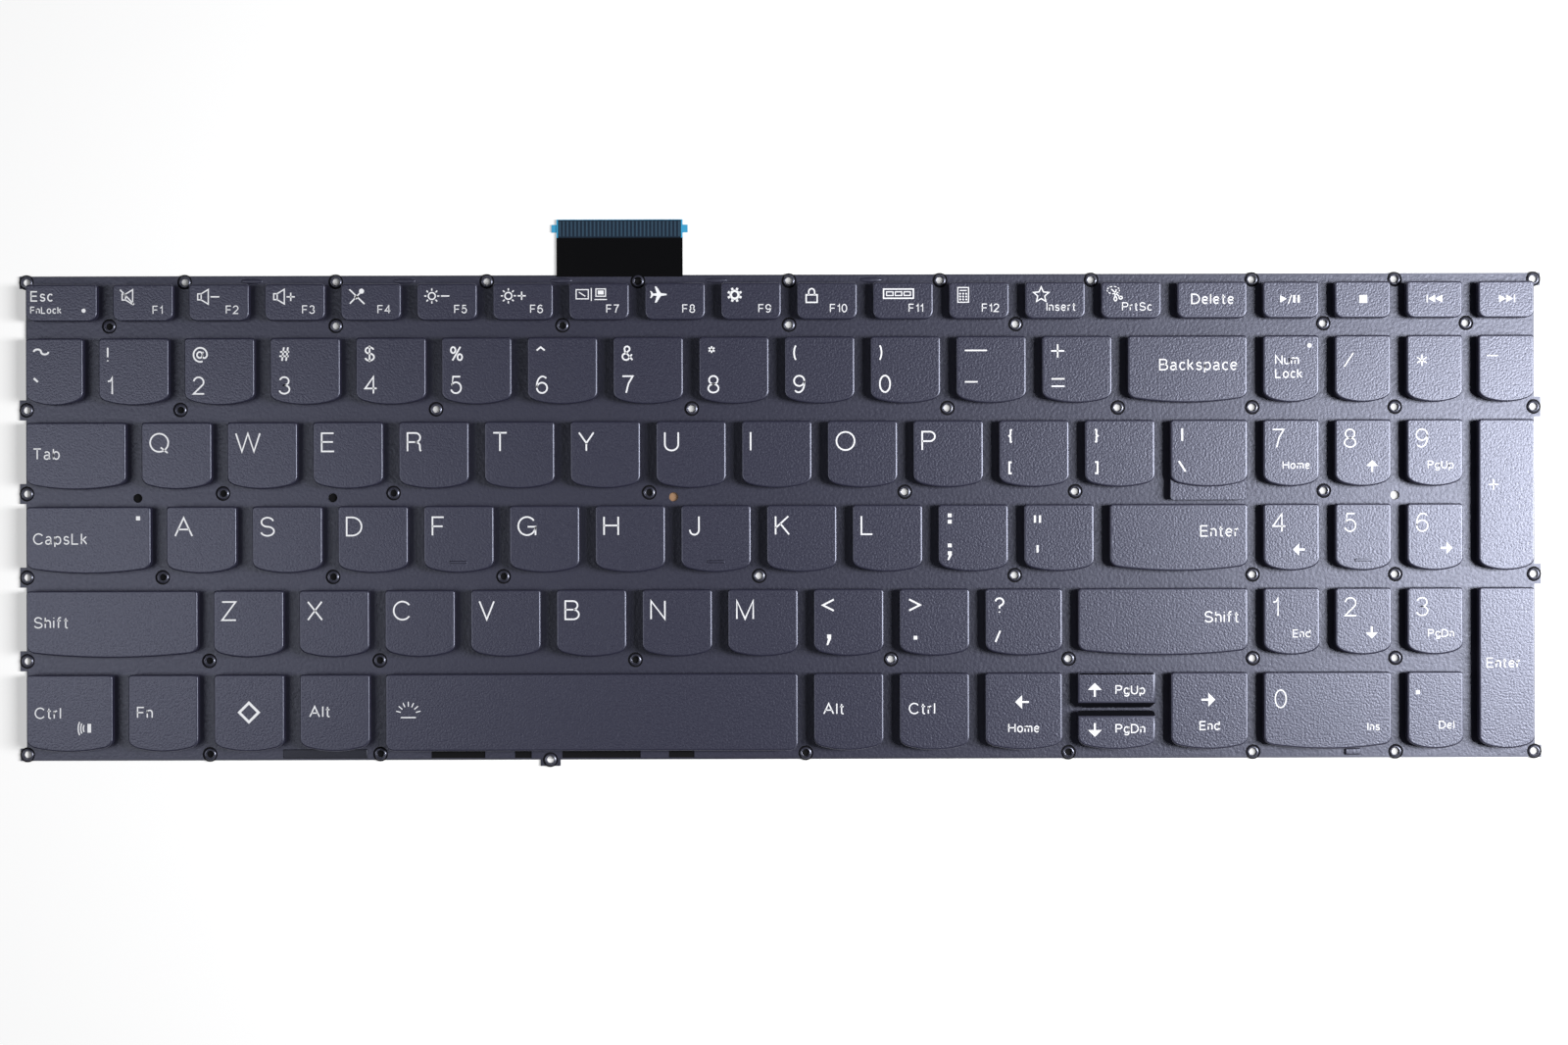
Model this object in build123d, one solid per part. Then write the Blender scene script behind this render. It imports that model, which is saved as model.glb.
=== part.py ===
from build123d import *
import math
import os
from dataclasses import dataclass

# Laptop replacement keyboard: island keys with a number pad, on scissor levers and rubber domes
# over a switch membrane and a stamped steel base plate, with a flat ribbon tail at the rear.
# Frame: origin at the centre of the plate, on its underside. +X runs to the number pad,
# +Y to the rear edge with the ribbon, +Z up to the key tops. All sizes are in millimetres.

# Key layout, seen from above
KEY_WIDTH = 15.2
KEY_GAP = 3.5
ROW_DEPTH = 14.6
ROW_GAP = 3.76
FUNCTION_ROW_DEPTH = 8.0
SPACE_ROW_DEPTH = 16.76
ESCAPE_WIDTH = 15.5
DELETE_WIDTH = 15.2
GRAVE_WIDTH = 12.4
BACKSPACE_WIDTH = 26.0
TAB_WIDTH = 21.7
CAPS_LOCK_WIDTH = 27.1
LEFT_SHIFT_WIDTH = 37.3
LEFT_CTRL_WIDTH = 18.7
ARROW_WIDTH = 16.75
UP_ARROW_DEPTH = 7.7
ARROW_SLIT = 0.65
PAD_KEY_WIDTH = 12.15

# Keycaps
TRAVEL = 1.4
PRESSED_CLEARANCE = 0.3
CAP_HEIGHT = 1.7
CAP_ROOF = 0.9
CAP_WALL = 1.0
FRONT_SAG = 1.0
FRONT_CORNER = 1.0
ARROW_BEVEL = 1.1
FLANGE_REACH = 2.9
FLANGE_HEIGHT = 0.9
HOMING_BAR_LENGTH = 3.8
HOMING_BAR_DEPTH = 0.6
HOMING_BAR_HEIGHT = 0.2
HOMING_BAR_FROM_REAR = 12.3

# Base plate, with holes for the stakes that hold it in a top case and for locating pins
PLATE_THICKNESS = 0.4
SIDE_MARGIN = 1.1
REAR_MARGIN = 2.1
FRONT_MARGIN = 2.24
STAKE_HOLE_RADIUS = 0.8
PLAIN_HOLE_SIDES = 8
STAKE_SETBACK = 0.9
EDGE_STAKE_INSET = 1.35
SIDE_STAKE_INSET = 0.2
LOCATING_HOLE_RADIUS = 1.0
LOCATING_SETBACK = 1.9
TAB_WIDTH_ALONG_EDGE = 4.4
TAB_REACH = 1.4

# Switch membrane and its ribbon tail
MEMBRANE_THICKNESS = 0.25
MEMBRANE_INSET = 0.4
MEMBRANE_HOLE_RADIUS = 1.55
MEMBRANE_HOLE_SIDES = 6
TAIL_WIDTH = 27.7
TAIL_LENGTH = 12.2
TAIL_THICKNESS = 0.15
TAIL_ROOT = 3.0
TAIL_FIT = 0.1
TAIL_FROM_LEFT_EDGE = 130.4
STIFFENER_LENGTH = 4.0
STIFFENER_THICKNESS = 0.2
EAR_REACH = 1.1
EAR_LENGTH = 1.7

# Dome and scissor levers under a key
DOME_FOOT_RADIUS = 2.3
DOME_CROWN_RADIUS = 1.3
DOME_SIDES = 6
LEVER_WIDTH = 11.6
LEVER_BAR = 1.1
LEVER_THICKNESS = 0.6
LEVER_PLAY = 0.2
LEVER_END_GAP = 1.0

# Stabiliser bars under the wide keys
STABILISED_WIDTH = 25.0
BAR_RADIUS = 0.3
BAR_SIDES = 6
BAR_END_GAP = 1.2
BAR_LEG = 6.0
BAR_WALL_GAP = 0.2

# Sizes that follow from those above
MAIN_WIDTH = GRAVE_WIDTH + 12 * KEY_WIDTH + BACKSPACE_WIDTH + 13 * KEY_GAP
FUNCTION_WIDTH = (MAIN_WIDTH - ESCAPE_WIDTH - DELETE_WIDTH - 15 * KEY_GAP) / 14
PAD_FIELD_WIDTH = 4 * PAD_KEY_WIDTH + 3 * KEY_GAP
FIELD_DEPTH = FUNCTION_ROW_DEPTH + 4 * ROW_DEPTH + SPACE_ROW_DEPTH + 5 * ROW_GAP
PLATE_WIDTH = MAIN_WIDTH + KEY_GAP + PAD_FIELD_WIDTH + 2 * SIDE_MARGIN
PLATE_DEPTH = FIELD_DEPTH + REAR_MARGIN + FRONT_MARGIN
MEMBRANE_TOP = PLATE_THICKNESS + MEMBRANE_THICKNESS
SKIRT_Z = MEMBRANE_TOP + PRESSED_CLEARANCE + TRAVEL
ROOF_Z = SKIRT_Z + CAP_HEIGHT - CAP_ROOF
FIELD_LEFT = SIDE_MARGIN - PLATE_WIDTH / 2
PAD_LEFT = FIELD_LEFT + MAIN_WIDTH + KEY_GAP
TAIL_X = TAIL_FROM_LEFT_EDGE - PLATE_WIDTH / 2


@dataclass
class Key:
    """A keycap's edges on the layout, and how far its front edge bows out."""

    left: float
    right: float
    front: float
    rear: float
    sag: float = FRONT_SAG

    @property
    def width(self):
        return self.right - self.left

    @property
    def depth(self):
        return self.rear - self.front

    @property
    def centre(self):
        return (self.left + self.right) / 2, (self.front + self.rear) / 2

    @property
    def pocket_depth(self):
        return self.depth - self.sag - 2 * CAP_WALL

    @property
    def seat(self):
        """The middle of the hollow under the cap, where its dome and levers stand."""
        return self.centre[0], self.centre[1] + self.sag / 2


def same_width(names, width):
    return [(name, width) for name in names.split()]


# Row by row: the keys of the main block, where a width of None takes what the row leaves over
ROW_DEPTHS = {
    "function": FUNCTION_ROW_DEPTH,
    "number": ROW_DEPTH,
    "upper": ROW_DEPTH,
    "home": ROW_DEPTH,
    "lower": ROW_DEPTH,
    "space": SPACE_ROW_DEPTH,
}
MAIN_ROWS = {
    "function": [
        ("escape", ESCAPE_WIDTH),
        *same_width("f1 f2 f3 f4 f5 f6 f7 f8 f9 f10 f11 f12 insert print_screen", FUNCTION_WIDTH),
        ("delete", DELETE_WIDTH),
    ],
    "number": [
        ("grave", GRAVE_WIDTH),
        *same_width("1 2 3 4 5 6 7 8 9 0 minus equals", KEY_WIDTH),
        ("backspace", BACKSPACE_WIDTH),
    ],
    "upper": [
        ("tab", TAB_WIDTH),
        *same_width("q w e r t y u i o p left_bracket right_bracket", KEY_WIDTH),
        ("backslash", None),
    ],
    "home": [
        ("caps_lock", CAPS_LOCK_WIDTH),
        *same_width("a s d f g h j k l semicolon apostrophe", KEY_WIDTH),
        ("enter", None),
    ],
    "lower": [
        ("shift_left", LEFT_SHIFT_WIDTH),
        *same_width("z x c v b n m comma period", KEY_WIDTH),
        ("slash", ARROW_WIDTH),
        ("shift_right", None),
    ],
    "space": [
        ("ctrl_left", LEFT_CTRL_WIDTH),
        *same_width("fn system alt_left", KEY_WIDTH),
        ("space", None),
        *same_width("alt_right ctrl_right", KEY_WIDTH),
        *same_width("arrow_left arrow_up arrow_right", ARROW_WIDTH),
    ],
}
PAD_ROWS = {
    "function": same_width("play stop previous next", PAD_KEY_WIDTH),
    "number": same_width("num_lock pad_divide pad_multiply pad_minus", PAD_KEY_WIDTH),
    "upper": same_width("pad_7 pad_8 pad_9 pad_plus", PAD_KEY_WIDTH),
    "home": same_width("pad_4 pad_5 pad_6", PAD_KEY_WIDTH),
    "lower": same_width("pad_1 pad_2 pad_3 pad_enter", PAD_KEY_WIDTH),
    "space": [("pad_0", 2 * PAD_KEY_WIDTH + KEY_GAP), ("pad_decimal", PAD_KEY_WIDTH)],
}
FLAT_FRONT_ROWS = ["function"]
WORKING_ROWS = ["upper", "home", "lower", "space"]

# The stakes of each row stand in front of it, in the gaps to the right of these keys
STAKES_AFTER = {
    "function": "escape f3 f6 f9 f12 play previous",
    "number": "1 4 7 0 equals backspace pad_divide",
    "upper": "q e y o left_bracket pad_7",
    "home": "caps_lock s f j semicolon enter pad_5",
    "lower": "shift_left x b comma slash shift_right pad_2",
}
REAR_STAKES_AFTER = "f1 f3 f5 f7 f9 f11 insert delete stop"
FRONT_STAKES_AFTER = "fn alt_left space arrow_left arrow_right pad_0"
FRONT_EAR_AFTER = "v"
LEFT_TAB_ROWS = ["number", "upper", "home", "lower"]
RIGHT_TAB_ROWS = ["number", "home"]
LOCATING_HOLES_AFTER = "tab s h pad_8"


def lay_row(keys, left, front, rear, sag):
    """Places the keys of one row from left to right."""
    placed = {}
    for name, width in keys:
        placed[name] = Key(left, left + width, front, rear, sag)
        left += width + KEY_GAP
    return placed


def fill_row(keys):
    """Gives the key with no width of its own what the others leave of the main block."""
    taken = sum(width for _, width in keys if width) + KEY_GAP * (len(keys) - 1)
    return [(name, width or MAIN_WIDTH - taken) for name, width in keys]


def lay_out():
    """Places every key, and returns them by block, with the front line of each row."""
    main, pad, front_line = {}, {}, {}
    rear = PLATE_DEPTH / 2 - REAR_MARGIN
    for row, depth in ROW_DEPTHS.items():
        front = rear - depth
        sag = 0 if row in FLAT_FRONT_ROWS else FRONT_SAG
        main[row] = lay_row(fill_row(MAIN_ROWS[row]), FIELD_LEFT, front, rear, sag)
        pad[row] = lay_row(PAD_ROWS[row], PAD_LEFT, front, rear, sag)
        front_line[row] = front
        rear = front - ROW_GAP
    main["space"]["space"].sag = 0
    pad["upper"]["pad_plus"].front = front_line["home"]
    pad["lower"]["pad_enter"].front = front_line["space"]
    up = main["space"]["arrow_up"]
    main["space"]["arrow_down"] = Key(up.left, up.right, up.front, up.rear - UP_ARROW_DEPTH - ARROW_SLIT)
    main["space"]["arrow_up"] = Key(up.left, up.right, up.rear - UP_ARROW_DEPTH, up.rear, 0)
    return main, pad, front_line


MAIN, PAD, FRONT_LINE = lay_out()
FUNCTION_KEYS = MAIN["function"] | PAD["function"]
NUMBER_KEYS = MAIN["number"]
PAD_KEYS = {name: key for row, keys in PAD.items() if row != "function" for name, key in keys.items()}
WORKING_KEYS = {name: key for row in WORKING_ROWS for name, key in MAIN[row].items()}
ALL_KEYS = FUNCTION_KEYS | NUMBER_KEYS | PAD_KEYS | WORKING_KEYS


def after(names, y):
    """Points on the line y, in the gaps to the right of the named keys."""
    return [(ALL_KEYS[name].right + KEY_GAP / 2, y) for name in names.split()]


def stake_holes():
    """Centres of the stake holes: in the gaps and edges, at the corners, in the side tabs and the ear."""
    side = PLATE_WIDTH / 2 - SIDE_STAKE_INSET
    rear = PLATE_DEPTH / 2 - EDGE_STAKE_INSET
    front = EDGE_STAKE_INSET - PLATE_DEPTH / 2
    row_line = {row: line - STAKE_SETBACK for row, line in FRONT_LINE.items()}
    holes = after(REAR_STAKES_AFTER, rear) + after(FRONT_STAKES_AFTER, front)
    for row, names in STAKES_AFTER.items():
        holes += after(names, row_line[row])
    corners = [(x, y) for x in (-side, side) for y in (rear, front)]
    left_tabs = [(-side, row_line[row]) for row in LEFT_TAB_ROWS]
    right_tabs = [(side, row_line[row]) for row in RIGHT_TAB_ROWS]
    ear = after(FRONT_EAR_AFTER, -PLATE_DEPTH / 2)
    return holes, corners, left_tabs + right_tabs, ear


ROW_STAKES, CORNER_STAKES, SIDE_STAKES, EAR_STAKE = stake_holes()
LOCATING_HOLES = after(LOCATING_HOLES_AFTER, FRONT_LINE["upper"] - LOCATING_SETBACK)


def many_sided(radius, sides, centres):
    """Holes with flat sides at these centres: far fewer faces than round ones."""
    hole = RegularPolygon(radius, sides, major_radius=False)
    return [Pos(x, y) * hole for x, y in centres]


def base_plate():
    """Stamped plate with a tab at each corner and side stake and an ear at the front.

    The corner holes are true bores; the many others have few sides to keep the plate light.
    """
    outline = Rectangle(PLATE_WIDTH, PLATE_DEPTH)
    for x, y in CORNER_STAKES + SIDE_STAKES:
        reach = math.copysign(PLATE_WIDTH / 2 + TAB_REACH, x)
        length = min(TAB_WIDTH_ALONG_EDGE, 2 * (PLATE_DEPTH / 2 - abs(y)))
        outline += Pos(reach / 2, y) * Rectangle(abs(reach), length)
    for x, y in EAR_STAKE:
        outline += Pos(x, y) * Rectangle(TAB_WIDTH_ALONG_EDGE, 2 * TAB_REACH)
    holes = [Pos(x, y) * Circle(STAKE_HOLE_RADIUS) for x, y in CORNER_STAKES]
    holes += many_sided(STAKE_HOLE_RADIUS, PLAIN_HOLE_SIDES, ROW_STAKES + SIDE_STAKES + EAR_STAKE)
    holes += many_sided(LOCATING_HOLE_RADIUS, PLAIN_HOLE_SIDES, LOCATING_HOLES)
    return extrude(outline - holes, PLATE_THICKNESS)


def switch_membrane():
    """Laminated film on the plate, clear of stakes and pins, with a rebate below for the tail's root."""
    width = PLATE_WIDTH - 2 * MEMBRANE_INSET
    depth = PLATE_DEPTH - 2 * MEMBRANE_INSET
    stakes = ROW_STAKES + CORNER_STAKES + SIDE_STAKES + EAR_STAKE
    openings = many_sided(MEMBRANE_HOLE_RADIUS, MEMBRANE_HOLE_SIDES, stakes)
    openings += many_sided(LOCATING_HOLE_RADIUS, PLAIN_HOLE_SIDES, LOCATING_HOLES)
    sheet = Pos(0, 0, PLATE_THICKNESS) * extrude(Rectangle(width, depth) - openings, MEMBRANE_THICKNESS)
    rebate = Box(
        TAIL_WIDTH + 2 * TAIL_FIT,
        TAIL_ROOT,
        TAIL_THICKNESS,
        align=(Align.CENTER, Align.MAX, Align.MIN),
    )
    return sheet - Pos(TAIL_X, depth / 2, PLATE_THICKNESS) * rebate


def ribbon_tail():
    root = PLATE_DEPTH / 2 - MEMBRANE_INSET - TAIL_ROOT
    end = PLATE_DEPTH / 2 + TAIL_LENGTH
    strip = Pos(TAIL_X, (root + end) / 2) * Rectangle(TAIL_WIDTH, end - root)
    return Pos(0, 0, PLATE_THICKNESS) * extrude(strip, TAIL_THICKNESS)


def ribbon_stiffener():
    """Backing under the end of the tail, with an ear at each side that locks in the socket."""
    middle = PLATE_DEPTH / 2 + TAIL_LENGTH - STIFFENER_LENGTH / 2
    outline = Rectangle(TAIL_WIDTH, STIFFENER_LENGTH)
    outline += Rectangle(TAIL_WIDTH + 2 * EAR_REACH, EAR_LENGTH)
    place = Pos(TAIL_X, middle, PLATE_THICKNESS - STIFFENER_THICKNESS)
    return place * extrude(outline, STIFFENER_THICKNESS)


def cap_outline(key):
    """Keycap outline about its own centre: square at the rear, front corners cut, front edge bowed."""
    x, y = key.width / 2, key.depth / 2
    bow_end = -y + key.sag
    left, right = (-x + FRONT_CORNER, bow_end), (x - FRONT_CORNER, bow_end)
    front = ThreePointArc(left, (0, -y), right) if key.sag else Line(left, right)
    sides = Polyline(right, (x, bow_end + FRONT_CORNER), (x, y), (-x, y), (-x, bow_end + FRONT_CORNER), left)
    return make_face(front.edges() + sides.edges())


def keycap(key, bevel=None, flange=False, homing=False):
    """Hollow cap; bevel names the edge that slopes down to the slit between the two half keys.

    A flange runs on in front of the cap at half height; a homing bar stands on its top for the finger.
    """
    cap = extrude(cap_outline(key), CAP_HEIGHT)
    if flange:
        skirt_depth = key.depth / 2 + FLANGE_REACH
        cap += Pos(0, -skirt_depth / 2, FLANGE_HEIGHT / 2) * Box(key.width, skirt_depth, FLANGE_HEIGHT)
    if bevel:
        long_edges = cap.faces().sort_by(Axis.Z)[-1].edges().filter_by(Axis.X).sort_by(Axis.Y)
        cap = chamfer(long_edges[-1 if bevel == "rear" else 0], ARROW_BEVEL)
    if homing:
        bar = Box(HOMING_BAR_LENGTH, HOMING_BAR_DEPTH, 2 * HOMING_BAR_HEIGHT)
        cap += Pos(0, key.depth / 2 - HOMING_BAR_FROM_REAR, CAP_HEIGHT) * bar
    hollow = Box(
        key.width - 2 * CAP_WALL,
        key.pocket_depth,
        CAP_HEIGHT - CAP_ROOF,
        align=(Align.CENTER, Align.CENTER, Align.MIN),
    )
    return Pos(*key.centre, SKIRT_Z) * (cap - Pos(0, key.sag / 2) * hollow)


def rubber_dome():
    """Frustum from the membrane to the roof of a cap's hollow."""
    height = ROOF_Z - MEMBRANE_TOP
    slope = math.degrees(math.atan((DOME_FOOT_RADIUS - DOME_CROWN_RADIUS) / height))
    foot = RegularPolygon(DOME_FOOT_RADIUS, DOME_SIDES, major_radius=False)
    return Pos(0, 0, MEMBRANE_TOP) * extrude(foot, height, taper=slope)


def scissor_levers(key):
    """Two U-shaped frames crossing at mid height, each joined across at its upper end.

    The narrower one swings inside the wider one.
    """
    length = key.pocket_depth - 2 * LEVER_END_GAP
    rise = ROOF_Z - MEMBRANE_TOP
    tilt = math.degrees(math.asin((rise - 2 * LEVER_PLAY - LEVER_THICKNESS) / length))
    inner_width = LEVER_WIDTH - 2 * (LEVER_BAR + LEVER_PLAY)
    levers = []
    for width, angle in [(LEVER_WIDTH, tilt), (inner_width, -tilt)]:
        upper_end = math.copysign(LEVER_BAR, angle)
        frame = Rectangle(width, length) - Pos(0, -upper_end) * Rectangle(width - 2 * LEVER_BAR, length)
        solid = extrude(frame, LEVER_THICKNESS / 2, both=True)
        levers.append(Pos(*key.seat, MEMBRANE_TOP + rise / 2) * Rot(angle, 0, 0) * solid)
    return levers


def stabiliser_bar(key):
    """Bent wire that keeps a wide key level: a long run under the roof and a leg at each end."""
    x_end = key.width / 2 - CAP_WALL - BAR_END_GAP
    y_bar = key.pocket_depth / 2 - BAR_WALL_GAP - BAR_RADIUS
    high = ROOF_Z - BAR_WALL_GAP - BAR_RADIUS
    low = MEMBRANE_TOP + BAR_WALL_GAP + BAR_RADIUS
    path = Polyline(
        (-x_end, y_bar - BAR_LEG, low),
        (-x_end, y_bar, high),
        (x_end, y_bar, high),
        (x_end, y_bar - BAR_LEG, low),
    )
    section = Plane(origin=path @ 0, z_dir=path % 0) * RegularPolygon(BAR_RADIUS, BAR_SIDES)
    return Pos(*key.seat) * sweep(section, path, transition=Transition.RIGHT)


def write(name, shape):
    """Saves one piece, or a set of like pieces, under its node's name."""
    solids = shape if isinstance(shape, list) else [shape]
    bodies = [solid for piece in solids for solid in piece.solids()]
    export_step(bodies[0] if len(bodies) == 1 else Compound(bodies), f"parts/{name}.step")


os.makedirs("parts", exist_ok=True)
write("base_plate", base_plate())
write("switch_membrane", switch_membrane())
write("ribbon_tail", ribbon_tail())
write("ribbon_stiffener", ribbon_stiffener())

DOME = rubber_dome()
HALF_KEYS = {"arrow_up": "front", "arrow_down": "rear"}
FLANGED_KEYS = ["backslash"]
HOMING_KEYS = ["f", "j", "pad_5"]
levered = [key for name, key in WORKING_KEYS.items() if name not in HALF_KEYS]
wide = [key for key in ALL_KEYS.values() if key.width > STABILISED_WIDTH]
write("rubber_domes", [Pos(*key.seat) * DOME for key in ALL_KEYS.values()])
write("scissor_levers", [lever for key in levered for lever in scissor_levers(key)])
write("stabiliser_bars", [stabiliser_bar(key) for key in wide])

write("function_keycaps", [keycap(key) for key in FUNCTION_KEYS.values()])
write("number_keycaps", [keycap(key) for key in NUMBER_KEYS.values()])
write("pad_keycaps", [keycap(key, homing=name in HOMING_KEYS) for name, key in PAD_KEYS.items()])
for name, key in WORKING_KEYS.items():
    cap = keycap(key, HALF_KEYS.get(name), flange=name in FLANGED_KEYS, homing=name in HOMING_KEYS)
    write(f"key_{name}", cap)
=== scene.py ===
import math

import bmesh
import bpy
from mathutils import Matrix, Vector


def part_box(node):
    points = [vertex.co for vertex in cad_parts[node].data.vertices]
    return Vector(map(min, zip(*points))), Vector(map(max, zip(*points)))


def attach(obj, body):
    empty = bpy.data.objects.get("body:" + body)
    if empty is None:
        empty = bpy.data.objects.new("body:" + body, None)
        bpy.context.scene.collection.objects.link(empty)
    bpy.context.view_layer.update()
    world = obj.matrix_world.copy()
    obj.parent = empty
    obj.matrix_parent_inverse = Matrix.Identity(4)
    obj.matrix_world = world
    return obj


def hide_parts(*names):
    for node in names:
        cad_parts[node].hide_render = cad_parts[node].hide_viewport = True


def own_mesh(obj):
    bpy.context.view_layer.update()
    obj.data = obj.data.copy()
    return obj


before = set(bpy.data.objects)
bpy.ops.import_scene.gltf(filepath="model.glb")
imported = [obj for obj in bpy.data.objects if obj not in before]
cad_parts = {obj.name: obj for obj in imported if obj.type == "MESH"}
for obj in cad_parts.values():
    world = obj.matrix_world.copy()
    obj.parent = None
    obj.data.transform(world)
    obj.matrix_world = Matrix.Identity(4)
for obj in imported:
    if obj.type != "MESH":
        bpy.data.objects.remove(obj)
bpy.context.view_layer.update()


# Base plate: one sheet of black painted steel that carries the whole keyboard.
# It is stamped and pierced in one stroke, then powder coated thin and satin.
MM = 0.001
PLATE_BLACK = (0.015, 0.015, 0.026)
SHEEN_TINT = (0.77, 0.81, 1.0, 1.0)
NOISE_LOW = 0.3
NOISE_HIGH = 0.7


def new_material(name, colour, roughness):
    """A Principled finish with its plain numbers set on the shader's own sockets."""
    material = bpy.data.materials.new(name)
    material.use_nodes = True
    shader = material.node_tree.nodes["Principled BSDF"]
    shader.inputs["Base Color"].default_value = (*colour, 1.0)
    shader.inputs["Roughness"].default_value = roughness
    return material


def add_grain(material, size, height, strength, detail=2.0, stretch=(1, 1, 1)):
    """Fine relief on the surface: noise of a real grain size drives a bump."""
    nodes = material.node_tree.nodes
    links = material.node_tree.links
    place = nodes.new("ShaderNodeTexCoord")
    turn = nodes.new("ShaderNodeMapping")
    turn.inputs["Scale"].default_value = stretch
    noise = nodes.new("ShaderNodeTexNoise")
    noise.inputs["Scale"].default_value = 1 / size
    noise.inputs["Detail"].default_value = detail
    bump = nodes.new("ShaderNodeBump")
    bump.inputs["Strength"].default_value = strength
    bump.inputs["Distance"].default_value = height
    links.new(place.outputs["Object"], turn.inputs["Vector"])
    links.new(turn.outputs["Vector"], noise.inputs["Vector"])
    links.new(noise.outputs["Fac"], bump.inputs["Height"])
    shader = nodes["Principled BSDF"]
    if shader.inputs["Normal"].is_linked:
        links.new(shader.inputs["Normal"].links[0].from_socket, bump.inputs["Normal"])
    links.new(bump.outputs["Normal"], shader.inputs["Normal"])
    return noise


def vary(material, noise, socket, low, high):
    """Lets a noise move one of the shader's inputs between two values."""
    nodes = material.node_tree.nodes
    spread = nodes.new("ShaderNodeMapRange")
    spread.inputs["From Min"].default_value = NOISE_LOW
    spread.inputs["From Max"].default_value = NOISE_HIGH
    spread.inputs["To Min"].default_value = low
    spread.inputs["To Max"].default_value = high
    links = material.node_tree.links
    links.new(noise.outputs["Fac"], spread.inputs["Value"])
    links.new(spread.outputs["Result"], nodes["Principled BSDF"].inputs[socket])


def satin_black(name, colour, roughness, index, level):
    """A coated or moulded black with a faint blue sheen."""
    material = new_material(name, colour, roughness)
    shader = material.node_tree.nodes["Principled BSDF"]
    shader.inputs["IOR"].default_value = index
    shader.inputs["Specular IOR Level"].default_value = level
    shader.inputs["Specular Tint"].default_value = SHEEN_TINT
    return material


plate_coat = satin_black("plate_black_coat", PLATE_BLACK, roughness=0.38, index=1.66, level=0.55)
coat_noise = add_grain(plate_coat, size=0.3 * MM, height=0.01 * MM, strength=0.4)
vary(plate_coat, coat_noise, "Roughness", low=0.35, high=0.42)
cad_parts["base_plate"].data.materials.clear()
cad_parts["base_plate"].data.materials.append(plate_coat)


# Stake collars: round each pierced hole the plate is drawn up into a short funnel.
# Plastic pins of the laptop's palm rest come through them and are melted over.
# A flat black ring in the gap between film and collar paints the shade of that recess round each, and black
# tape closes some from below.
COLLAR_PROFILE = [(0.76, 0.02), (1.36, 0.02), (1.36, 0.46), (1.3, 0.6), (1.2, 0.7),
                  (1.08, 0.76), (0.98, 0.78), (0.93, 0.7), (0.9, 0.3), (0.76, 0.26)]
SHADE_RING_PROFILE = [(1.3, 0.41), (1.66, 0.41), (1.66, 0.44), (1.3, 0.44)]
COLLAR_BORE_RADIUS = 0.76 * MM
COLLAR_SIDES = 24
COLLAR_PAINTED_HIGHLIGHT_GREY = (0.03, 0.03, 0.045)
WIDEST_STAKE_HOLE = 1.8 * MM
WIDEST_HOLE = 3 * MM
TAPE_HEIGHT = 0.08 * MM
TAPE_AND_SHADE_BLACK = (0.003, 0.003, 0.004)
MERGE_TURNED = 0.002 * MM
MERGE_COPIED = 0.001 * MM
FLAT_ANGLE = math.radians(0.5)
LEVEL_FACE = 0.5
TAPED = [(-147.2, 42.1), (-47.7, 42.1), (-31.2, 51.8), (-131.6, 23.8), (-122.3, 5.4), (-28.8, 5.4),
         (-84.9, 5.4), (-135.6, -12.9), (-98.2, -12.9), (-60.8, -12.9), (-125.4, -31.3), (-88.0, -31.3),
         (-31.9, -31.3), (-125.3, -51.8), (-87.9, -51.8), (5.4, -51.8), (63.1, -51.8)]


def pick(piece):
    """Selects one piece alone and makes it the active one."""
    bpy.ops.object.select_all(action="DESELECT")
    piece.select_set(True)
    bpy.context.view_layer.objects.active = piece


def edit(piece):
    """Opens one piece in edit mode, in edge select."""
    pick(piece)
    bpy.ops.object.mode_set(mode="EDIT")
    bpy.ops.mesh.select_mode(type="EDGE")


def finish(piece, material, angle=30):
    """Ends a piece's mesh: its place applied, smooth over small angles, its finish put on."""
    pick(piece)
    bpy.ops.object.transform_apply(location=True, rotation=True, scale=True)
    bpy.ops.object.shade_smooth_by_angle(angle=math.radians(angle))
    weigh = piece.modifiers.new("flat_faces_lead", "WEIGHTED_NORMAL")
    weigh.keep_sharp = True
    bpy.ops.object.modifier_apply(modifier="flat_faces_lead")
    piece.data.materials.clear()
    piece.data.materials.append(material)
    return piece


def turned(name, profile, sides, closed=False):
    """A round piece drawn from a ring by extrudes and resizes along a (radius, height) profile in mm."""
    profile = [(radius * MM, height * MM) for radius, height in profile]
    radius, height = profile[0]
    bpy.ops.object.select_all(action="DESELECT")
    bpy.ops.mesh.primitive_circle_add(vertices=sides, radius=radius, fill_type="NOTHING")
    piece = bpy.context.object
    piece.name = name
    edit(piece)
    bpy.ops.mesh.select_all(action="SELECT")
    bpy.ops.transform.translate(value=(0, 0, height))
    if not closed:
        bpy.ops.mesh.edge_face_add()
        bpy.ops.mesh.select_all(action="SELECT")
    steps = profile[1:] + profile[:1] if closed else profile[1:]
    for next_radius, next_height in steps:
        bpy.ops.mesh.extrude_region_move(TRANSFORM_OT_translate={"value": (0, 0, next_height - height)})
        ratio = next_radius / radius
        centre = (0, 0, next_height)
        bpy.ops.transform.resize(value=(ratio, ratio, 1), center_override=centre)
        radius, height = next_radius, next_height
    bpy.ops.mesh.select_all(action="SELECT")
    bpy.ops.mesh.remove_doubles(threshold=MERGE_TURNED)
    bpy.ops.mesh.normals_make_consistent(inside=False)
    bpy.ops.object.mode_set(mode="OBJECT")
    return piece


def merge_flats():
    """Merges the doubled corners of the piece in edit mode, then its coplanar triangles into faces."""
    bpy.ops.mesh.select_all(action="SELECT")
    bpy.ops.mesh.remove_doubles(threshold=MERGE_COPIED)
    bpy.ops.mesh.dissolve_limited(angle_limit=FLAT_ANGLE)
    bpy.ops.object.mode_set(mode="OBJECT")


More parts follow.
